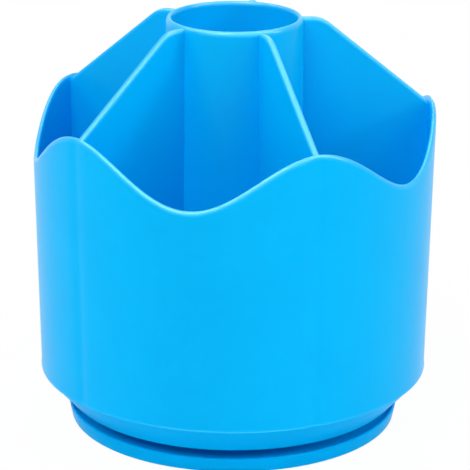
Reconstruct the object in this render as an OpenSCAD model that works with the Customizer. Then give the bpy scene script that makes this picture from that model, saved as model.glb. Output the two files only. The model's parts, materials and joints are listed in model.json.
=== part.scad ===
// Rotating pen holder: a five-compartment cup that turns on a round base, on a ring of balls.
// Millimetres, +Z up, with the origin on the desk under the middle of the base.

/* [Cup] */
// Diameter of the cup at its lower edge, above the chamfer
cup_d = 120; // [110:1:140]
// Height of the rim's peaks above the cup's underside
rim_peak_h = 92.7; // [70:0.1:105]
// Height from a rim dip to a rim peak
rim_wave_h = 15.8; // [4:0.1:24]
// Thickness of the outer wall
wall_t = 1.8; // [1.2:0.1:3]
// Outward lean of the outer wall, in degrees
wall_draft = 1; // [0.2:0.05:3]
// Thickness of the cup's floor and of the tube's floor
floor_t = 2; // [1.6:0.1:4]
// Radial width of the chamfer under the wall
chamfer_w = 8.4; // [4:0.2:10]
// Height of the chamfer under the wall
chamfer_h = 9.4; // [6:0.2:14]

/* [Dividers] */
// Number of dividers, and of compartments and rim waves
divider_n = 5; // [3:1:7]
// Thickness of a divider
divider_t = 2.3; // [1.2:0.1:3]
// Distance from the tube to the corner where a divider starts to slope
divider_shelf = 5.7; // [4:0.1:10]
// Radius that rounds that corner
divider_bend_r = 9; // [4:0.5:12]
// How far below a rim peak a divider meets the wall
divider_drop = 1.1; // [0.2:0.1:4]
// How far below the tube's rim a divider meets the tube
divider_step = 0.6; // [0.2:0.1:4]

/* [Tube] */
// Outer diameter of the tube at its rim
tube_d = 41.4; // [38:0.2:46]
// Height of the tube's rim above the cup's underside
tube_h = 119.3; // [112:0.1:140]
// Wall thickness of the tube at its rim
tube_t = 1.8; // [1.2:0.1:3]
// Widening of the tube's outside towards the floor, in degrees
tube_draft = 0.45; // [0:0.05:1]
// Narrowing of the tube's inside towards the floor, in degrees
bore_draft = 0.2; // [0:0.05:0.5]

/* [Base] */
// Diameter of the base at its top edge
base_d = 103.3; // [96:0.1:120]
// Height of the base's rim
base_h = 4.5; // [3.6:0.1:8]
// Thickness of the base's plate
base_t = 2; // [1.6:0.1:3]
// Inward lean of the base's side towards the desk, in degrees
base_draft = 11; // [0:1:20]
// Thickness of the base's rim at its lower edge
base_rim_t = 2; // [1.2:0.1:4]
// Radius of the rim's top edge
base_edge_r = 0.5; // [0.2:0.1:1.2]
// Number of stiffening ribs under the plate
rib_n = 8; // [4:4:16]
// Thickness of a rib
rib_t = 1.5; // [1:0.1:3]
// Height of a rib's lower edge above the rim's lower edge
rib_relief = 0.5; // [0.2:0.1:1]

/* [Ball race] */
// Diameter of the circle that the balls run on
race_d = 68; // [60:1:76]
// Number of balls
ball_n = 12; // [6:1:18]
// Diameter of a ball
ball_d = 4; // [3:0.1:5]
// Depth of the grooves that the balls run in
race_depth = 0.65; // [0.3:0.05:0.9]
// Clearance between a ball and each groove
race_clear = 0.1; // [0.05:0.01:0.15]
// Thickness of the ball cage
cage_t = 1.6; // [1:0.1:2]
// Width of the cage's ring on each side of a ball
cage_rim = 2; // [1.2:0.1:4]
// Clearance between a ball and its pocket
cage_clear = 0.15; // [0.1:0.05:0.3]

/* [Pivot] */
// Diameter of the cup's spindle
spindle_d = 10; // [8:0.1:12]
// Radial clearance between the spindle and the collar
pivot_clear = 0.05; // [0.02:0.01:0.1]
// Axial play between the collar and the washer
pivot_play = 0.15; // [0.1:0.05:0.3]
// Length of the collar that the spindle turns in
collar_l = 5; // [4:0.1:6]
// Wall thickness of the collar
collar_t = 2.2; // [1.6:0.1:3]
// Height of the base's hub above its plate
hub_h = 4.9; // [4:0.1:8]
// Thickness of the hub's wall and roof
hub_t = 2; // [1.6:0.1:3]
// Clearance between the hub and the cup
hub_clear = 1; // [0.5:0.1:1.5]
// Thickness of the retaining washer
washer_t = 1; // [0.6:0.1:1.2]
// Outer diameter of the screw's thread
screw_d = 3; // [2.5:0.1:4]
// Length of the screw under its head
screw_l = 7; // [6:0.5:8]
// Diameter of the screw's head
head_d = 5.6; // [5:0.1:7]
// Height of the screw's head
head_h = 1.8; // [1.4:0.1:2]

/* [Feet] */
// Number of feet
foot_n = 4; // [3:1:6]
// Diameter of a foot
foot_d = 9; // [6:0.5:12]
// Thickness of a foot
foot_t = 1.6; // [1.2:0.1:2]
// How far a foot stands below the base's rim
foot_proud = 0.6; // [0.3:0.1:1]
// Distance from the base's lower edge to a foot's centre
foot_inset = 9.5; // [8.5:0.5:14]
// Wall of the boss around a foot
foot_wall = 1.5; // [1:0.1:2]

/* [Hidden] */
$fn = 96;

plastic_blue = [0, 0.72, 0.97];
steel_grey = [0.72, 0.73, 0.75];
cage_white = [0.92, 0.92, 0.9];
rubber_black = [0.08, 0.08, 0.08];

// Clearances and details that follow from how the pieces are made
foot_clear = 0.1;
foot_bevel = 0.3;
washer_clear = 0.15;
thread_bite = 0.25;
pilot_spare = 0.4;
tip_l = 1;
cross_w = 0.7;
cross_l = 2.6;
cross_depth = 0.9;
rim_lift = 0.1;
wave_steps = 24;
bend_steps = 8;
edge_steps = 6;
// Overlap that carries a cutting shape clear past the face that it cuts
over = 1;

// Heights, from the desk up
base_z = foot_proud;
base_top = base_z + base_h;
plate_z = base_top - base_t;
race_r = ball_d / 2 + race_clear;
race_z = base_top - race_depth + race_r;
cup_z = base_top + 2 * (race_r - race_depth);
floor_z = cup_z + floor_t;
wall_z = cup_z + chamfer_h;
rim_z = cup_z + rim_peak_h;
tube_z = cup_z + tube_h;
hub_z = base_top + hub_h;
collar_z = hub_z - collar_l;
spindle_z = collar_z - pivot_play;
washer_z = spindle_z - washer_t;
screw_z = washer_z + screw_l;
tube_floor_z = hub_z + hub_clear + floor_t;

// Radii
wall_slope = tan(wall_draft);
chamfer_r = cup_d / 2 - chamfer_w;
chamfer_run = chamfer_w / chamfer_h;
chamfer_slant = norm([chamfer_w, chamfer_h]);
rim_r = wall_r(rim_z);
tube_r = tube_d / 2;
tube_foot_r = tube_r + (tube_z - floor_z) * tan(tube_draft);
tube_bore_r = tube_r - tube_t - (tube_z - tube_floor_z) * tan(bore_draft);
hub_r = tube_bore_r - hub_clear;
bore_r = spindle_d / 2 + pivot_clear;
collar_r = bore_r + collar_t;
base_r = base_d / 2;
base_foot_r = base_r - base_h * tan(base_draft);
base_inner_r = base_foot_r - base_rim_t;
foot_seat_r = foot_d / 2 + foot_clear;
foot_ring_r = base_foot_r - foot_inset;
sector = 360 / divider_n;

function two_digits(i) = str(i < 10 ? "0" : "", i);
function ball_name(i) = str("ball_", two_digits(i));
function foot_name(i) = str("foot_", i);

// Outer radius of the wall at a height
function wall_r(z) = cup_d / 2 + (z - wall_z) * wall_slope;

// Points along an arc from one angle to another
function arc(centre, r, from, to, steps) = [
    for (i = [0:steps])
        let (a = from + (to - from) * i / steps)
        centre + r * [cos(a), sin(a)]
];

// The two lower corners of a surface that lies a depth inside the chamfer and the wall, at a floor height
function chamfer_inset(depth, z) = [
    [chamfer_r + (z - cup_z) * chamfer_run - depth * chamfer_slant / chamfer_h, z],
    let (corner_z = wall_z + depth * (chamfer_slant - chamfer_h) / chamfer_w)
    [wall_r(corner_z) - depth, corner_z]
];

// Section of the cup's turned body: spindle, tube, floor, chamfer and wall
cup_section = let (inside = chamfer_inset(wall_t, floor_z)) [
    [0, tube_floor_z],
    [0, screw_z + pilot_spare],
    [screw_d / 2 - thread_bite, screw_z + pilot_spare],
    [screw_d / 2 - thread_bite, spindle_z],
    [spindle_d / 2, spindle_z],
    [spindle_d / 2, tube_floor_z - floor_t],
    [tube_bore_r, tube_floor_z - floor_t],
    [tube_bore_r, cup_z],
    [chamfer_r, cup_z],
    [cup_d / 2, wall_z],
    [rim_r, rim_z],
    [rim_r - wall_t, rim_z],
    inside[1],
    inside[0],
    [tube_foot_r, floor_z],
    [tube_r, tube_z],
    [tube_r - tube_t, tube_z],
    [tube_bore_r, tube_floor_z]
];

// Outline of a divider, sunk half way into the tube, the floor and the wall
divider_outline = let (
    root = chamfer_inset(wall_t / 2, floor_z - floor_t / 2),
    start_z = tube_z - divider_step,
    corner = [tube_r + divider_shelf, start_z],
    meet = [rim_r - wall_t, rim_z - divider_drop],
    slope = atan2(corner[1] - meet[1], meet[0] - corner[0]),
    run = divider_bend_r * tan(slope / 2),
    end = [meet[0] + wall_t / 2, meet[1] - wall_t / 2 * tan(slope)]
) concat(
    [
        [tube_r - tube_t / 2, start_z],
        [tube_foot_r - tube_t / 2, floor_z - floor_t / 2]
    ],
    root,
    [end],
    arc(corner - [run, divider_bend_r], divider_bend_r, 90 - slope, 90, bend_steps)
);

// Section of the base: collar, hub, plate and rim
base_section = let (edge_run = base_edge_r / tan(45 - base_draft / 2)) concat(
    [
        [bore_r, hub_z],
        [bore_r, collar_z],
        [collar_r, collar_z],
        [collar_r, hub_z - hub_t],
        [hub_r - hub_t, hub_z - hub_t],
        [hub_r - hub_t, plate_z],
        [base_inner_r, plate_z],
        [base_inner_r, base_z],
        [base_foot_r, base_z]
    ],
    arc([base_r - edge_run, base_top - base_edge_r], base_edge_r, -base_draft, 90, edge_steps),
    [
        [hub_r, base_top],
        [hub_r, hub_z]
    ]
);

// Groove that the balls run in, the same one for base and cup
module race_groove() {
    rotate_extrude()
        translate([race_d / 2, race_z])
            circle(race_r);
}

// What is cut off the wall between two rim peaks, along one sector's middle.
// The wave ends at the dividers' faces, a little above the wall's top, so each peak keeps a short flat.
module rim_dip() {
    inner_r = rim_r - wall_t;
    mid_r = rim_r - wall_t / 2;
    reach = inner_r * sin(sector / 2 - asin(divider_t / 2 / inner_r));
    span = asin(reach / mid_r);
    start = inner_r * cos(sector / 2) - over;
    wave = [
        for (i = [0:wave_steps])
            let (phase = 2 * i / wave_steps - 1)
            [
                mid_r * sin(span * phase),
                rim_z + rim_lift - (rim_wave_h + rim_lift) * (1 + cos(180 * phase)) / 2
            ]
    ];
    translate([start, 0, 0])
        rotate([90, 0, 90])
            linear_extrude(rim_r + over - start)
                polygon(concat(
                    [[-reach - over, rim_z + over]],
                    wave,
                    [[reach + over, rim_z + over]]
                ));
}

module divider() {
    rotate([90, 0, 0])
        linear_extrude(divider_t, center = true)
            polygon(divider_outline);
}

module cup() {
    color(plastic_blue) {
        difference() {
            rotate_extrude() polygon(cup_section);
            race_groove();
            for (i = [0:divider_n - 1]) {
                rotate(sector * (i + 1 / 2)) rim_dip();
            }
        }
        for (i = [0:divider_n - 1]) {
            rotate(sector * i) divider();
        }
    }
}

// Places what it is given at the middle of one foot
module at_foot(i) {
    rotate(360 / foot_n * (i - 1 / 2))
        translate([foot_ring_r, 0, 0])
            children();
}

module base() {
    rib_l = base_inner_r + base_rim_t / 2 - hub_r;
    rib_z = base_z + rib_relief;
    color(plastic_blue) difference() {
        union() {
            rotate_extrude() polygon(base_section);
            for (i = [0:rib_n - 1]) {
                rotate(360 / rib_n * i)
                    translate([hub_r, -rib_t / 2, rib_z])
                        cube([rib_l, rib_t, plate_z + base_t / 2 - rib_z]);
            }
            for (i = [1:foot_n]) {
                at_foot(i)
                    translate([0, 0, base_z])
                        cylinder(r = foot_seat_r + foot_wall, h = plate_z + base_t / 2 - base_z);
            }
        }
        race_groove();
        for (i = [1:foot_n]) {
            at_foot(i)
                translate([0, 0, base_z - over])
                    cylinder(r = foot_seat_r, h = foot_t - foot_proud + over);
        }
    }
}

// Places what it is given at the middle of one ball
module at_ball(i) {
    rotate(360 / ball_n * (i - 1))
        translate([race_d / 2, 0, race_z])
            children();
}

module ball_cage() {
    inner_r = (race_d - ball_d) / 2 - cage_rim;
    outer_r = (race_d + ball_d) / 2 + cage_rim;
    color(cage_white) difference() {
        translate([0, 0, race_z])
            cylinder(r = outer_r, h = cage_t, center = true);
        translate([0, 0, race_z])
            cylinder(r = inner_r, h = cage_t + over, center = true);
        for (i = [1:ball_n]) {
            at_ball(i) cylinder(r = ball_d / 2 + cage_clear, h = cage_t + over, center = true);
        }
    }
}

module ball(i) {
    color(steel_grey) at_ball(i) sphere(d = ball_d);
}

module retaining_washer() {
    color(steel_grey)
        translate([0, 0, washer_z])
            difference() {
                cylinder(r = collar_r, h = washer_t);
                translate([0, 0, -over])
                    cylinder(r = screw_d / 2 + washer_clear, h = washer_t + 2 * over);
            }
}

// Pan-head screw, pointing up, with a cross recess in its head
module pivot_screw() {
    head_r = head_d / 2;
    dome_r = head_h / 2;
    color(steel_grey)
        translate([0, 0, washer_z])
            difference() {
                rotate_extrude()
                    polygon(concat(
                        [[0, screw_l], [0, -head_h]],
                        arc([head_r - dome_r, dome_r - head_h], dome_r, -90, 0, edge_steps),
                        [
                            [head_r, 0],
                            [screw_d / 2, 0],
                            [screw_d / 2, screw_l - tip_l],
                            [screw_d / 2 - thread_bite, screw_l]
                        ]
                    ));
                for (turn = [0, 90]) {
                    rotate(turn)
                        translate([-cross_l / 2, -cross_w / 2, -head_h - over])
                            cube([cross_l, cross_w, cross_depth + over]);
                }
            }
}

// Rubber foot with a bevelled lower edge, standing on the desk
module foot(i) {
    color(rubber_black)
        at_foot(i)
            rotate_extrude()
                polygon([
                    [0, 0],
                    [foot_d / 2 - foot_bevel, 0],
                    [foot_d / 2, foot_bevel],
                    [foot_d / 2, foot_t],
                    [0, foot_t]
                ]);
}

cup();
base();
ball_cage();
for (i = [1:ball_n]) ball(i);
retaining_washer();
pivot_screw();
for (i = [1:foot_n]) foot(i);
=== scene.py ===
"""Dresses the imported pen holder: rounded edges, fillets, sink marks and finishes, in a plain white studio."""
import cmath
import json
import math

import bmesh
import bpy
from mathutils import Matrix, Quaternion, Vector

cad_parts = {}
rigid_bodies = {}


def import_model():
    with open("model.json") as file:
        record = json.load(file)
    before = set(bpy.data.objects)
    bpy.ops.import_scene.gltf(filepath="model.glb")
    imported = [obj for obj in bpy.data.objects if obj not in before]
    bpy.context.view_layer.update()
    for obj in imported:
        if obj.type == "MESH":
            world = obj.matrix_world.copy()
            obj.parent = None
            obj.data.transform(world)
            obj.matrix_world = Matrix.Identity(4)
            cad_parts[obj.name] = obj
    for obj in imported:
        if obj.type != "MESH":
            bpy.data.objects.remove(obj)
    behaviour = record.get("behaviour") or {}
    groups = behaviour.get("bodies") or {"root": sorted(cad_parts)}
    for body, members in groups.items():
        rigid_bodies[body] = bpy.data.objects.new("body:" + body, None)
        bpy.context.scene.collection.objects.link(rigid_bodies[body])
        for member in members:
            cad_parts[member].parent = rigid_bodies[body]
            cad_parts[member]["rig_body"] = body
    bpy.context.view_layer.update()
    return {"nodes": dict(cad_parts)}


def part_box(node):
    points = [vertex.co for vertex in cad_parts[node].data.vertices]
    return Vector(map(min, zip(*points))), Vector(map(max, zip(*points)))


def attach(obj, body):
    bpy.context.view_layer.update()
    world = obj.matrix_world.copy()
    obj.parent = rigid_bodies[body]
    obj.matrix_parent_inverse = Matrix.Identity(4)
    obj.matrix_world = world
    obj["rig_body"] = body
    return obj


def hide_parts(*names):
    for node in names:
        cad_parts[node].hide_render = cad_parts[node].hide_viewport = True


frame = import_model()

MM = 0.001


def box_mm(node):
    """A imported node's lowest and highest corner, in millimetres."""
    low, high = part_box(node)
    return low / MM, high / MM


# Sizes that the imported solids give, in millimetres
cup_low, cup_high = box_mm("cup")
base_low, base_high = box_mm("base")
ball_low, ball_high = box_mm("ball_01")
cage_low, cage_high = box_mm("ball_cage")
washer_low, washer_high = box_mm("retaining_washer")
screw_low, screw_high = box_mm("pivot_screw")
foot_low, foot_high = box_mm("foot_1")

balls = sorted(name for name in frame["nodes"] if name[:5] == "ball_" and name[5:].isdigit())
feet = sorted(name for name in frame["nodes"] if name.startswith("foot_"))

# Sizes of the pieces, in millimetres, as the solids have them
CUP_R = 60
WALL_T = 1.8
WALL_SLOPE = math.tan(math.radians(1))
CHAMFER_W = 8.4
CHAMFER_H = 9.4
FLOOR_T = 2
RIM_PEAK_H = 92.7
RIM_WAVE_H = 15.8
DIVIDERS = 5
DIVIDER_T = 2.3
DIVIDER_SHELF = 5.7
DIVIDER_BEND_R = 9
DIVIDER_DROP = 1.1
DIVIDER_STEP = 0.6
TUBE_R = 20.7
TUBE_T = 1.8
TUBE_SLOPE = math.tan(math.radians(0.45))
BORE_SLOPE = math.tan(math.radians(0.2))
BASE_T = 2
BASE_RIM_T = 2
BASE_EDGE_R = 0.5
BASE_DRAFT = math.radians(11)
RIBS = 8
RIB_T = 1.5
RIB_RELIEF = 0.5
RACE_DEPTH = 0.65
RACE_CLEAR = 0.1
SPINDLE_R = 5
PIVOT_CLEAR = 0.05
COLLAR_T = 2.2
COLLAR_L = 5
HUB_T = 2
HUB_CLEAR = 1
CAGE_RIM = 2
CAGE_CLEAR = 0.15
SCREW_R = 1.5
HEAD_H = 1.8
THREAD_BITE = 0.25
PILOT_SPARE = 0.4
TIP_L = 1
CROSS_W = 0.7
CROSS_L = 2.6
CROSS_DEPTH = 0.9
WASHER_CLEAR = 0.15
FOOT_CLEAR = 0.1
FOOT_WALL = 1.5

# Small details that the solids leave out, in millimetres
FILLET_R = 0.6
FLOOR_FILLET_R = 1.5
RIM_OUTER_W = 0.95
RIM_INNER_W = 0.8
CREST_ROUND_W = 0.7
ROUND_STRETCH = 2
SINK_DEPTH = 0.4
SINK_W = 2
SEAM_PROUD = 0.15
SEAM_H = 0.6
SEAM_CREST_DROP = SEAM_H / 6
LIP_W = 1
LIP_H = 0.6
LIP_INSET = 1
EDGE_BREAK = 0.25

# Heights and radii that follow
race_z = (ball_low.z + ball_high.z) / 2
ball_r = (ball_high.z - ball_low.z) / 2
race_ring_r = (ball_low.x + ball_high.x) / 2
groove_r = ball_r + RACE_CLEAR
base_z = base_low.z
base_top = race_z - groove_r + RACE_DEPTH
base_r = base_high.x - BASE_EDGE_R + BASE_EDGE_R / math.tan(math.pi / 4 - BASE_DRAFT / 2)
base_foot_r = base_r - (base_top - base_z) * math.tan(BASE_DRAFT)
base_inner_r = base_foot_r - BASE_RIM_T
hub_z = base_high.z
cup_z = race_z + groove_r - RACE_DEPTH
floor_z = cup_z + FLOOR_T
wall_z = cup_z + CHAMFER_H
rim_z = cup_z + RIM_PEAK_H
tube_z = cup_high.z
spindle_z = cup_low.z
recess_z = hub_z + HUB_CLEAR
tube_floor_z = recess_z + FLOOR_T
bore_foot_r = TUBE_R - TUBE_T - (tube_z - tube_floor_z) * BORE_SLOPE
chamfer_r = CUP_R - CHAMFER_W
chamfer_slant = math.hypot(CHAMFER_W, CHAMFER_H)
sector = 2 * math.pi / DIVIDERS


def wall_r(z):
    """Outer radius of the cup's wall at a height."""
    return CUP_R + (z - wall_z) * WALL_SLOPE


def tube_r(z):
    """Outer radius of the tube at a height."""
    return TUBE_R + (tube_z - z) * TUBE_SLOPE


def inner_chamfer_r(z):
    """Radius of the chamfer's inner face at a height."""
    return chamfer_r + (z - cup_z) * CHAMFER_W / CHAMFER_H - WALL_T * chamfer_slant / CHAMFER_H


inner_corner_z = wall_z + WALL_T * (chamfer_slant - CHAMFER_H) / CHAMFER_W

# Mesh tools, which work in millimetres

CUP_STEPS = 400
BASE_STEPS = 240
SMALL_STEPS = 64
ROUND_STEPS = 6
WALL_ROWS = 10
SHARP_ANGLE = math.radians(28)
CUT_OVER = 1
ON_AXIS = 1e-6
SAME_POINT = 1e-5
NO_LENGTH_M = 1e-7


def unit(point):
    return point / abs(point)


def rounded(corners):
    """Points of a closed section as complex numbers, with each (r, z, radius) corner rounded."""
    points = []
    for i, (r, z, radius) in enumerate(corners):
        corner = complex(r, z)
        if not radius:
            points.append(corner)
            continue
        to_last = unit(complex(*corners[i - 1][:2]) - corner)
        to_next = unit(complex(*corners[(i + 1) % len(corners)][:2]) - corner)
        turn = cmath.phase(to_next / to_last)
        half = abs(turn) / 2
        centre = corner + unit(to_last + to_next) * radius / math.sin(half)
        start = corner + to_last * radius / math.tan(half) - centre
        sweep = -math.copysign(math.pi - abs(turn), turn)
        points += [centre + start * cmath.exp(1j * sweep * k / ROUND_STEPS) for k in range(ROUND_STEPS + 1)]
    return points


def groove(side):
    """Corners of a ball groove from the inside out; side is 1 under the balls and -1 over them."""
    half = math.acos((groove_r - RACE_DEPTH) / groove_r)
    points = []
    for k in range(2 * ROUND_STEPS + 1):
        angle = half * (k / ROUND_STEPS - 1)
        r = race_ring_r + groove_r * math.sin(angle)
        points.append((r, race_z - side * groove_r * math.cos(angle), 0))
    return points


def top_edge(thickness, outer_w, inner_w):
    """Points over a top edge with tall rounded corners: distance from its middle and drop from its top."""
    turns = [math.pi / 2 * k / ROUND_STEPS for k in range(ROUND_STEPS + 1)]
    corners = []
    for width in (outer_w, inner_w):
        height = ROUND_STRETCH * width
        corners.append([(thickness / 2 - width * (1 - math.cos(turn)), height * (1 - math.sin(turn)))
                        for turn in turns])
    return corners[0] + [(-across, drop) for across, drop in reversed(corners[1])]


def new_object(name, mesh):
    """An object in metres from a mesh in millimetres, with its faces turned outward."""
    bmesh.ops.remove_doubles(mesh, verts=mesh.verts, dist=SAME_POINT)
    bmesh.ops.recalc_face_normals(mesh, faces=mesh.faces)
    bmesh.ops.scale(mesh, vec=(MM, MM, MM), verts=mesh.verts)
    data = bpy.data.meshes.new(name)
    mesh.to_mesh(data)
    mesh.free()
    piece = bpy.data.objects.new(name, data)
    bpy.context.scene.collection.objects.link(piece)
    return piece


def lathe(name, section_at, steps, centre=(0, 0)):
    """A solid turned about an upright axis, where section_at gives the closed section at an angle."""
    mesh = bmesh.new()
    rings = []
    for step in range(steps):
        angle = 2 * math.pi * step / steps
        ring = []
        for i, point in enumerate(section_at(angle)):
            if rings and point.real < ON_AXIS:
                ring.append(rings[0][i])
                continue
            x = centre[0] + point.real * math.cos(angle)
            y = centre[1] + point.real * math.sin(angle)
            ring.append(mesh.verts.new((x, y, point.imag)))
        rings.append(ring)
    for step in range(steps):
        ring, last = rings[step], rings[step - 1]
        for i in range(len(ring)):
            corners = list(dict.fromkeys([last[i - 1], last[i], ring[i], ring[i - 1]]))
            if len(corners) > 2:
                mesh.faces.new(corners)
    return new_object(name, mesh)


def turned(name, corners, steps=SMALL_STEPS, centre=(0, 0)):
    """A solid with the same rounded section all round."""
    section = rounded(corners)
    return lathe(name, lambda angle: section, steps, centre)


def prism(name, outline, low, high):
    """An upright prism over an outline of complex points."""
    mesh = bmesh.new()
    ends = [[mesh.verts.new((p.real, p.imag, z)) for p in outline] for z in (low, high)]
    for end in ends:
        mesh.faces.new(end)
    for i in range(len(outline)):
        mesh.faces.new([ends[0][i - 1], ends[0][i], ends[1][i], ends[1][i - 1]])
    return new_object(name, mesh)


def circle(centre, radius, steps=SMALL_STEPS):
    return [centre + cmath.rect(radius, 2 * math.pi * k / steps) for k in range(steps)]


def combine(piece, tools, operation):
    """Joins or cuts a piece with closed tools, which are used up."""
    for tool in tools:
        modifier = piece.modifiers.new("combine", "BOOLEAN")
        modifier.object = tool
        modifier.operation = operation
        modifier.solver = "EXACT"
    graph = bpy.context.evaluated_depsgraph_get()
    data = bpy.data.meshes.new_from_object(piece.evaluated_get(graph))
    piece.modifiers.clear()
    piece.data = data
    for tool in tools:
        bpy.data.objects.remove(tool)


def dress(piece, node, look):
    """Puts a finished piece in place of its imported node, on the same body."""
    mesh = bmesh.new()
    mesh.from_mesh(piece.data)
    bmesh.ops.dissolve_degenerate(mesh, edges=mesh.edges, dist=NO_LENGTH_M)
    mesh.to_mesh(piece.data)
    mesh.free()
    piece.data.name = piece.name
    piece.data.materials.clear()
    piece.data.materials.append(look)
    piece.data.polygons.foreach_set("use_smooth", [True] * len(piece.data.polygons))
    piece.data.set_sharp_from_angle(angle=SHARP_ANGLE)
    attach(piece, frame["nodes"][node]["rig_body"])
    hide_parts(node)


# Finishes

TONE_STOPS = (0.3, 0.7)
CLOUD_DETAIL = 4
GRAIN_DETAIL = 2


def finish(name, tones, cloud_scale, roughness, grain_scale, grain_depth, sockets):
    """Cloudy tones, patchy roughness and a fine grain; scales are per metre and the depth is in metres."""
    look = bpy.data.materials.new(name)
    look.use_nodes = True
    nodes, links = look.node_tree.nodes, look.node_tree.links
    shader = nodes["Principled BSDF"]
    for socket, value in sockets.items():
        shader.inputs[socket].default_value = value
    place = nodes.new("ShaderNodeTexCoord").outputs["Object"]

    cloud = nodes.new("ShaderNodeTexNoise")
    cloud.inputs["Scale"].default_value = cloud_scale
    cloud.inputs["Detail"].default_value = CLOUD_DETAIL
    links.new(place, cloud.inputs["Vector"])
    ramp = nodes.new("ShaderNodeValToRGB")
    for stop, where, tone in zip(ramp.color_ramp.elements, TONE_STOPS, tones):
        stop.position = where
        stop.color = (*tone, 1)
    links.new(cloud.outputs["Fac"], ramp.inputs["Fac"])
    links.new(ramp.outputs["Color"], shader.inputs["Base Color"])

    spread = nodes.new("ShaderNodeMapRange")
    spread.inputs["To Min"].default_value = roughness[0]
    spread.inputs["To Max"].default_value = roughness[1]
    links.new(cloud.outputs["Fac"], spread.inputs["Value"])
    links.new(spread.outputs["Result"], shader.inputs["Roughness"])

    grain = nodes.new("ShaderNodeTexNoise")
    grain.inputs["Scale"].default_value = grain_scale
    grain.inputs["Detail"].default_value = GRAIN_DETAIL
    links.new(place, grain.inputs["Vector"])
    bump = nodes.new("ShaderNodeBump")
    bump.inputs["Distance"].default_value = grain_depth
    bump.inputs["Strength"].default_value = 1
    links.new(grain.outputs["Fac"], bump.inputs["Height"])
    links.new(bump.outputs["Normal"], shader.inputs["Normal"])
    return look


def polish_edges(look, levels):
    """Sets a surface's gloss by how far up it faces, from pairs of the normal's upward part and a level."""
    nodes, links = look.node_tree.nodes, look.node_tree.links
    split = nodes.new("ShaderNodeSeparateXYZ")
    links.new(nodes.new("ShaderNodeTexCoord").outputs["Normal"], split.inputs["Vector"])
    spread = nodes.new("ShaderNodeMapRange")
    spread.inputs["From Min"].default_value = -1
    links.new(split.outputs["Z"], spread.inputs["Value"])
    ramp = nodes.new("ShaderNodeValToRGB")
    stops = ramp.color_ramp.elements
    while len(stops) < len(levels):
        stops.new(1)
    for stop, (upward, level) in zip(stops, levels):
        stop.position = (upward + 1) / 2
        stop.color = (level, level, level, 1)
    links.new(spread.outputs["Result"], ramp.inputs["Fac"])
    links.new(ramp.outputs["Color"], nodes["Principled BSDF"].inputs["Specular IOR Level"])


def blue_plastic(name, level):
    """The mouldings' plastic, at a gloss level."""
    return finish(
        name,
        tones=((0.0, 0.475, 0.945), (0.0, 0.495, 0.965)),
        cloud_scale=40, roughness=(0.26, 0.32), grain_scale=1500, grain_depth=4e-6,
        sockets={"Specular Tint": (0.5, 0.65, 0.9, 1.0), "IOR": 1.45, "Specular IOR Level": level},
    )


WALL_GLOSS = 0.09
UNDER_GLOSS = WALL_GLOSS / 20
BASE_GLOSS = WALL_GLOSS / 4
EDGE_GLOSS = 1

cup_blue = blue_plastic("cup_blue", WALL_GLOSS)
polish_edges(cup_blue, ((-0.3, UNDER_GLOSS), (0, WALL_GLOSS), (0.05, WALL_GLOSS), (0.5, EDGE_GLOSS)))
base_blue = blue_plastic("base_blue", BASE_GLOSS)
white = finish(
    "white_plastic",
    tones=((0.8, 0.8, 0.76), (0.84, 0.84, 0.81)),
    cloud_scale=120, roughness=(0.4, 0.5), grain_scale=2500, grain_depth=8e-6,
    sockets={"IOR": 1.5},
)
steel = finish(
    "steel",
    tones=((0.55, 0.56, 0.57), (0.6, 0.61, 0.62)),
    cloud_scale=300, roughness=(0.14, 0.24), grain_scale=4000, grain_depth=2e-6,
    sockets={"Metallic": 1.0},
)
rubber = finish(
    "foot_rubber",
    tones=((0.018, 0.018, 0.019), (0.026, 0.026, 0.027)),
    cloud_scale=200, roughness=(0.6, 0.75), grain_scale=3500, grain_depth=3e-5,
    sockets={"IOR": 1.52},
)

# Cup


def rim_top(angle):
    """Height of the wavy rim at an angle, and its slope along the rim."""
    phase = DIVIDERS * angle
    height = rim_z - RIM_WAVE_H / 2 * (1 - math.cos(phase))
    slope = RIM_WAVE_H / 2 * math.sin(phase) * DIVIDERS / wall_r(rim_z)
    return height, slope


def sink(angle):
    """Depth of the sink mark that a divider leaves on the outside of the wall at an angle."""
    off = CUP_R * abs((angle + sector / 2) % sector - sector / 2)
    return SINK_DEPTH * math.exp(-((off / SINK_W) ** 2))


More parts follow.
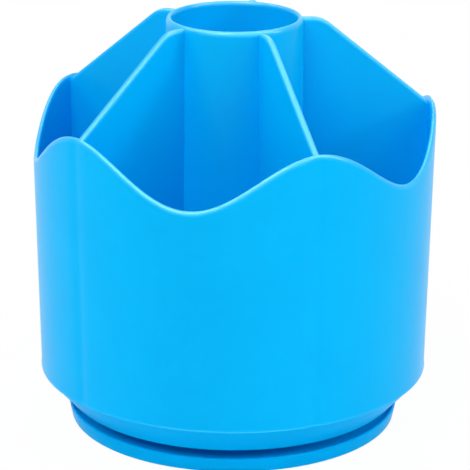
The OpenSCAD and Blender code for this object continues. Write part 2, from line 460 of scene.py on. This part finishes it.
def cup_section(angle):
    """The cup's section at an angle: spindle, underside, wall with a wavy rim, floor and tube."""
    top, slope = rim_top(angle)
    stretch = math.hypot(1, slope)
    edge = [(across, top - drop * stretch) for across, drop in top_edge(WALL_T, RIM_OUTER_W, RIM_INNER_W)]
    outer_z, inner_z = edge[0][1], edge[-1][1]
    dent = sink(angle)
    seam_low, seam_top = wall_z - SEAM_H / 2, wall_z + SEAM_H / 2
    under = rounded([
        (0, tube_floor_z, 0),
        (0, screw_high.z + PILOT_SPARE, 0),
        (SCREW_R - THREAD_BITE, screw_high.z + PILOT_SPARE, 0),
        (SCREW_R - THREAD_BITE, spindle_z, 0),
        (SPINDLE_R, spindle_z, EDGE_BREAK),
        (SPINDLE_R, recess_z, FILLET_R),
        (bore_foot_r, recess_z, FILLET_R),
        (bore_foot_r, cup_z, EDGE_BREAK),
        *groove(-1),
        (chamfer_r, cup_z, EDGE_BREAK),
        (CUP_R - SEAM_H * CHAMFER_W / CHAMFER_H, wall_z - SEAM_H, 0),
        (CUP_R - SEAM_H / 2 * CHAMFER_W / CHAMFER_H, seam_low, 0),
    ])
    seam = [complex(CUP_R + SEAM_PROUD - dent, wall_z - SEAM_CREST_DROP)]
    row_z = seam_top + SEAM_H / 2
    heights = [seam_top] + [row_z + (outer_z - row_z) * k / WALL_ROWS for k in range(WALL_ROWS)]
    outside = [complex(wall_r(z) - dent, z) for z in heights]
    rim = []
    for across, z in edge:
        outer_share = 0.5 + across / WALL_T
        rim.append(complex(wall_r(z) - WALL_T / 2 + across - dent * outer_share, z))
    inside = []
    for k in range(1, WALL_ROWS):
        z = inner_z + (inner_corner_z + FLOOR_FILLET_R - inner_z) * k / WALL_ROWS
        inside.append(complex(wall_r(z) - WALL_T, z))
    middle = rounded([
        (inside[-1].real, inside[-1].imag, 0),
        (wall_r(inner_corner_z) - WALL_T, inner_corner_z, FLOOR_FILLET_R),
        (inner_chamfer_r(floor_z), floor_z, FLOOR_FILLET_R),
        (tube_r(floor_z), floor_z, FLOOR_FILLET_R),
        (TUBE_R, tube_z, 0),
        (TUBE_R - TUBE_T, tube_z, 0),
        (bore_foot_r, tube_floor_z, FLOOR_FILLET_R),
        (0, tube_floor_z, 0),
    ])[1:-1]
    lip = [complex(TUBE_R - TUBE_T / 2 + across, tube_z - drop)
           for across, drop in top_edge(TUBE_T, RIM_OUTER_W, RIM_INNER_W)]
    at_lip = next(i for i, point in enumerate(middle) if point.imag == tube_z)
    return under + seam + outside + rim + inside + middle[:at_lip] + lip + middle[at_lip + 2:]


def crest_path():
    """Points and normals of a divider's bend, then the slope's normal and its end at the wall."""
    top = tube_z - DIVIDER_STEP
    corner = complex(TUBE_R + DIVIDER_SHELF, top)
    meet = complex(wall_r(rim_z) - WALL_T, rim_z - DIVIDER_DROP)
    slope = -cmath.phase(meet - corner)
    run = DIVIDER_BEND_R * math.tan(slope / 2)
    centre = corner - run - 1j * DIVIDER_BEND_R
    path = []
    for k in range(2 * ROUND_STEPS + 1):
        normal = cmath.rect(1, math.pi / 2 - slope * k / (2 * ROUND_STEPS))
        path.append((centre + DIVIDER_BEND_R * normal, normal))
    return path, path[-1][1], meet


def add_divider(mesh, angle):
    """Adds a divider with a rounded top edge, sunk half-way into the tube, the wall and the floor."""
    bend, slope_normal, meet = crest_path()
    along = slope_normal * -1j
    end_r = wall_r(meet.imag) - WALL_T / 2
    tube_end = (complex(TUBE_R - TUBE_T / 2, bend[0][0].imag), 1j)
    wall_end = (meet + along * (end_r - meet.real) / along.real, slope_normal)
    crest = [tube_end, *bend, wall_end]

    buried_z = floor_z - FLOOR_T / 2
    low_ends = (tube_r(buried_z) - TUBE_T / 2, inner_chamfer_r(buried_z) + WALL_T / 2)
    mid_ends = (tube_r(inner_corner_z) - TUBE_T / 2, wall_r(inner_corner_z) - WALL_T / 2)
    rings = []
    for top, normal in crest:
        share = (top.real - tube_end[0].real) / (wall_end[0].real - tube_end[0].real)
        low = low_ends[0] + (low_ends[1] - low_ends[0]) * share
        mid = mid_ends[0] + (mid_ends[1] - mid_ends[0]) * share
        ring = [(low, DIVIDER_T / 2, buried_z), (mid, DIVIDER_T / 2, inner_corner_z)]
        for across, drop in top_edge(DIVIDER_T, CREST_ROUND_W, CREST_ROUND_W):
            edge = top - normal * drop
            ring.append((edge.real, across, edge.imag))
        ring += [(mid, -DIVIDER_T / 2, inner_corner_z), (low, -DIVIDER_T / 2, buried_z)]
        rings.append([mesh.verts.new((x * math.cos(angle) - y * math.sin(angle),
                                      x * math.sin(angle) + y * math.cos(angle), z)) for x, y, z in ring])
    for last_ring, ring in zip(rings, rings[1:]):
        for i in range(len(ring)):
            mesh.faces.new([last_ring[i - 1], last_ring[i], ring[i], ring[i - 1]])
    for end in (rings[0], rings[-1]):
        mesh.faces.new([end[0], end[1], end[-2], end[-1]])
        mesh.faces.new([end[1], end[2], end[-3], end[-2]])
        mesh.faces.new(end[2:-2])


cup = lathe("cup_moulding", cup_section, CUP_STEPS)
mesh = bmesh.new()
for k in range(DIVIDERS):
    add_divider(mesh, sector * k)
combine(cup, [new_object("dividers", mesh)], "UNION")
dress(cup, "cup", cup_blue)

# Base

bore_r = SPINDLE_R + PIVOT_CLEAR
hub_r = bore_foot_r - HUB_CLEAR
plate_z = base_top - BASE_T
collar_z = hub_z - COLLAR_L
foot_ring_r = math.hypot(foot_low.x + foot_high.x, foot_low.y + foot_high.y) / 2
foot_r = (foot_high.x - foot_low.x) / 2
foot_seat_r = foot_r + FOOT_CLEAR
track_r = cage_high.x + LIP_INSET

base = turned("base_moulding", [
    (bore_r, hub_z, EDGE_BREAK),
    (bore_r, collar_z, 0),
    (bore_r + COLLAR_T, collar_z, EDGE_BREAK),
    (bore_r + COLLAR_T, hub_z - HUB_T, FILLET_R),
    (hub_r - HUB_T, hub_z - HUB_T, FILLET_R),
    (hub_r - HUB_T, plate_z, EDGE_BREAK),
    (base_inner_r, plate_z, FILLET_R),
    (base_inner_r, base_z, EDGE_BREAK),
    (base_foot_r, base_z, EDGE_BREAK),
    (base_r, base_top, BASE_EDGE_R),
    (base_r - LIP_W, base_top, EDGE_BREAK),
    (base_r - LIP_W, base_top - LIP_H, EDGE_BREAK),
    (track_r, base_top - LIP_H, EDGE_BREAK),
    (track_r, base_top, EDGE_BREAK),
    *reversed(groove(1)),
    (hub_r, base_top, FILLET_R),
    (hub_r, hub_z, BASE_EDGE_R),
], BASE_STEPS)

rib_span = (hub_r, base_inner_r + BASE_RIM_T / 2)
ribs = []
for k in range(RIBS):
    along = cmath.rect(1, 2 * math.pi * k / RIBS)
    side = 1j * along * RIB_T / 2
    outline = [along * rib_span[0] - side, along * rib_span[1] - side,
               along * rib_span[1] + side, along * rib_span[0] + side]
    ribs.append(prism("rib", outline, base_z + RIB_RELIEF, plate_z + BASE_T / 2))
foot_spots = [cmath.rect(foot_ring_r, 2 * math.pi * (k + 0.5) / len(feet)) for k in range(len(feet))]
bosses = [prism("boss", circle(spot, foot_seat_r + FOOT_WALL), base_z, plate_z + BASE_T / 2)
          for spot in foot_spots]
seats = [prism("seat", circle(spot, foot_seat_r), base_z - CUT_OVER, foot_high.z) for spot in foot_spots]
combine(base, ribs + bosses, "UNION")
combine(base, seats, "DIFFERENCE")
dress(base, "base", base_blue)

# Ball race

cage_r = cage_high.x
cage = turned("cage_ring", [
    (race_ring_r - ball_r - CAGE_RIM, cage_low.z, EDGE_BREAK),
    (cage_r, cage_low.z, EDGE_BREAK),
    (cage_r, cage_high.z, EDGE_BREAK),
    (race_ring_r - ball_r - CAGE_RIM, cage_high.z, EDGE_BREAK),
], BASE_STEPS)
half_round = [(0, race_z - ball_r, 0)]
for k in range(1, SMALL_STEPS):
    turn = math.pi * k / SMALL_STEPS
    half_round.append((ball_r * math.sin(turn), race_z - ball_r * math.cos(turn), 0))
half_round.append((0, race_z + ball_r, 0))
pockets = []
for name in balls:
    low, high = box_mm(name)
    spot = complex(low.x + high.x, low.y + high.y) / 2
    pocket = circle(spot, ball_r + CAGE_CLEAR)
    pockets.append(prism("pocket", pocket, cage_low.z - CUT_OVER, cage_high.z + CUT_OVER))
    ball = turned("steel_" + name, half_round, SMALL_STEPS, (spot.real, spot.imag))
    dress(ball, name, steel)
combine(cage, pockets, "DIFFERENCE")
dress(cage, "ball_cage", white)

# Retaining washer and pivot screw

washer = turned("washer_disc", [
    (SCREW_R + WASHER_CLEAR, washer_low.z, 0),
    (washer_high.x, washer_low.z, EDGE_BREAK),
    (washer_high.x, washer_high.z, 0),
    (SCREW_R + WASHER_CLEAR, washer_high.z, 0),
])
dress(washer, "retaining_washer", steel)

screw = turned("pan_head_screw", [
    (0, screw_low.z, 0),
    (screw_high.x, screw_low.z, HEAD_H / 2),
    (screw_high.x, washer_low.z, 0),
    (SCREW_R, washer_low.z, 0),
    (SCREW_R, screw_high.z - TIP_L, 0),
    (SCREW_R - THREAD_BITE, screw_high.z, 0),
    (0, screw_high.z, 0),
])
slots = []
for turn in (1, 1j):
    half_l, half_w = turn * CROSS_L / 2, 1j * turn * CROSS_W / 2
    outline = [-half_l - half_w, half_l - half_w, half_l + half_w, -half_l + half_w]
    slots.append(prism("slot", outline, screw_low.z - CUT_OVER, screw_low.z + CROSS_DEPTH))
combine(screw, slots, "DIFFERENCE")
dress(screw, "pivot_screw", steel)

# Feet

for name, spot in zip(feet, foot_spots):
    foot = turned("rubber_" + name, [
        (0, foot_low.z, 0),
        (foot_r, foot_low.z, 2 * EDGE_BREAK),
        (foot_r, foot_high.z, 0),
        (0, foot_high.z, 0),
    ], SMALL_STEPS, (spot.real, spot.imag))
    dress(foot, name, rubber)

# Studio, in metres: white surroundings, soft lamps all round and a high panel that shows only as gloss

FLOOR_HALF = 6
FLOOR_TONE = 0.92
FLOOR_GLOW = 0.97
WORLD_LIGHT = 0.2


def seen(nodes, links):
    """A factor that is 1 for camera, glossy and transmission rays."""
    path = nodes.new("ShaderNodeLightPath")
    factor = path.outputs["Is Camera Ray"]
    for kind in ("Is Glossy Ray", "Is Transmission Ray"):
        either = nodes.new("ShaderNodeMath")
        either.operation = "MAXIMUM"
        links.new(factor, either.inputs[0])
        links.new(path.outputs[kind], either.inputs[1])
        factor = either.outputs["Value"]
    return factor


def scaled(nodes, links, factor, low, high):
    """A value that goes from low to high with a factor."""
    spread = nodes.new("ShaderNodeMapRange")
    spread.inputs["To Min"].default_value = low
    spread.inputs["To Max"].default_value = high
    links.new(factor, spread.inputs["Value"])
    return spread.outputs["Result"]


mesh = bmesh.new()
bmesh.ops.create_grid(mesh, x_segments=1, y_segments=1, size=FLOOR_HALF)
data = bpy.data.meshes.new("studio_floor")
mesh.to_mesh(data)
mesh.free()
floor = bpy.data.objects.new("studio_floor", data)
bpy.context.scene.collection.objects.link(floor)
paper = bpy.data.materials.new("paper")
paper.use_nodes = True
nodes, links = paper.node_tree.nodes, paper.node_tree.links
nodes.clear()
matt = nodes.new("ShaderNodeBsdfDiffuse")
matt.inputs["Color"].default_value = (FLOOR_TONE, FLOOR_TONE, FLOOR_TONE, 1)
glow = nodes.new("ShaderNodeEmission")
blend = nodes.new("ShaderNodeMixShader")
links.new(scaled(nodes, links, seen(nodes, links), 0, FLOOR_GLOW), blend.inputs["Fac"])
links.new(matt.outputs["BSDF"], blend.inputs[1])
links.new(glow.outputs["Emission"], blend.inputs[2])
out = nodes.new("ShaderNodeOutputMaterial")
links.new(blend.outputs["Shader"], out.inputs["Surface"])
data.materials.append(paper)

world = bpy.data.worlds.new("studio")
world.use_nodes = True
nodes, links = world.node_tree.nodes, world.node_tree.links
nodes["Background"].inputs["Color"].default_value = (1, 1, 1, 1)
links.new(scaled(nodes, links, seen(nodes, links), WORLD_LIGHT, 1), nodes["Background"].inputs["Strength"])
bpy.context.scene.world = world

CAMERA_AZIMUTH = math.radians(-5.4)
LAMP_DISTANCE = 1.5
LAMP_SIZE = 0.8


def soft_lamp(name, azimuth, elevation, watts, distance=LAMP_DISTANCE, size=LAMP_SIZE):
    """A square lamp aimed at the object, at angles in degrees from the camera's side."""
    light = bpy.data.lights.new(name, "AREA")
    light.size = size
    light.energy = watts
    lamp = bpy.data.objects.new(name, light)
    turn = CAMERA_AZIMUTH + math.radians(azimuth)
    rise = math.radians(elevation)
    toward = Vector((math.sin(turn) * math.cos(rise), -math.cos(turn) * math.cos(rise), math.sin(rise)))
    lamp.location = toward * distance
    lamp.rotation_mode = "QUATERNION"
    lamp.rotation_quaternion = toward.to_track_quat("Z", "Y")
    lamp.visible_camera = False
    bpy.context.scene.collection.objects.link(lamp)
    return lamp


soft_lamp("front_lamp", azimuth=-25, elevation=50, watts=10.6)
soft_lamp("left_lamp", azimuth=-95, elevation=45, watts=6.4)
soft_lamp("right_lamp", azimuth=70, elevation=45, watts=5.6)
soft_lamp("low_lamp", azimuth=75, elevation=22, watts=4.4, size=0.3)
soft_lamp("back_lamp", azimuth=180, elevation=50, watts=5.5)
panel = soft_lamp("gloss_panel", azimuth=0, elevation=60, watts=200, distance=1.7, size=4)
panel.visible_diffuse = False

# Camera at the photograph's view, with lengths in millimetres

CAMERA_DISTANCE = 702.7
CAMERA_HEIGHT = 298.1
CAMERA_ROLL = math.radians(0.31)
CAMERA_LENS = 183.7
TARGET_HEIGHT = 57.15
TARGET_SIDE = 0.46

right = Vector((math.cos(CAMERA_AZIMUTH), math.sin(CAMERA_AZIMUTH), 0))
away = Vector((math.sin(CAMERA_AZIMUTH), -math.cos(CAMERA_AZIMUTH), 0))
eye = away * CAMERA_DISTANCE + Vector((0, 0, base_z + CAMERA_HEIGHT))
target = right * TARGET_SIDE + Vector((0, 0, base_z + TARGET_HEIGHT))
camera_data = bpy.data.cameras.new("camera")
camera_data.lens = CAMERA_LENS
camera = bpy.data.objects.new("camera", camera_data)
camera.location = eye * MM
camera.rotation_mode = "QUATERNION"
camera.rotation_quaternion = (target - eye).to_track_quat("-Z", "Y") @ Quaternion((0, 0, 1), CAMERA_ROLL)
bpy.context.scene.collection.objects.link(camera)
bpy.context.scene.camera = camera
bpy.context.scene.view_settings.view_transform = "Standard"
